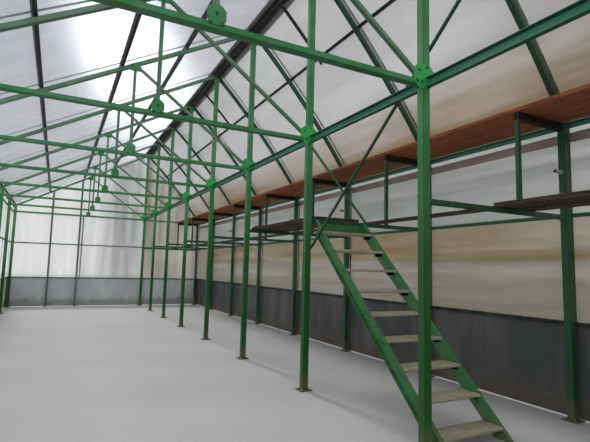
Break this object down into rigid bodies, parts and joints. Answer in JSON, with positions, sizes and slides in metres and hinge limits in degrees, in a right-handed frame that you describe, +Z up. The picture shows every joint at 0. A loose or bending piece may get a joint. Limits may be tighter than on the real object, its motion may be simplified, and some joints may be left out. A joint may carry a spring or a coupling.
{
  "type": "greenhouse",
  "caption": "Long steel-framed greenhouse with an unequal pitched roof, translucent sheets, two timber decks and a stair along its steep side.",
  "frame": {"origin": "on the ground, in the middle of the plan", "axes": "+Y along the ridge from the gable with the doorway to the far gable, +X across towards the steep side with the decks, +Z up"},
  "size_m": [6.456, 19.196, 5.7498],
  "materials": {
    "green_paint": "satin",
    "black_paint": "satin",
    "ridge_timber": "matte",
    "deck_timber": "matte",
    "dark_timber": "matte",
    "tread_board": "matte",
    "roof_sheet": "satin",
    "wall_sheet": "satin",
    "skirt_panel": "matte",
    "cap_metal": "satin"
  },
  "bodies": {
    "root": {"ridge_posts": "green_paint", "left_wall_posts": "green_paint", "right_wall_posts": "green_paint", "tie_beams": "green_paint", "left_rafters": "green_paint", "right_rafters": "green_paint", "truss_uprights": "green_paint", "truss_diagonals": "green_paint", "ridge_post_plates": "green_paint", "truss_foot_plates": "green_paint", "truss_top_plates": "green_paint", "row_beams": "green_paint", "left_wall_girts": "green_paint", "right_wall_girts": "green_paint", "right_eave_beam": "green_paint", "far_gable_posts": "green_paint", "near_gable_posts": "green_paint", "far_gable_girts": "green_paint", "near_gable_girts": "green_paint", "deck_hangers": "green_paint", "lower_deck_beams": "green_paint", "stair_left_stringer": "green_paint", "stair_right_stringer": "green_paint", "stair_head_bar": "green_paint", "long_brace": "green_paint", "landing_brace": "green_paint", "post_feet": "green_paint", "left_purlins": "black_paint", "right_purlins": "black_paint", "ridge_beam": "ridge_timber", "ridge_struts": "ridge_timber", "upper_deck_boards": "deck_timber", "upper_deck_bearers": "dark_timber", "lower_deck_planks": "dark_timber", "lower_deck_rail": "dark_timber", "landing_boards": "dark_timber", "stair_treads": "tread_board", "left_roof_sheets": "roof_sheet", "right_roof_sheets": "roof_sheet", "left_wall_sheets": "wall_sheet", "right_wall_sheets": "wall_sheet", "far_gable_sheets": "wall_sheet", "near_gable_sheets": "wall_sheet", "left_wall_skirt": "skirt_panel", "right_wall_skirt": "skirt_panel", "far_gable_skirt": "skirt_panel", "near_gable_skirt": "skirt_panel", "ridge_cap": "cap_metal"}
  },
  "joints": []
}
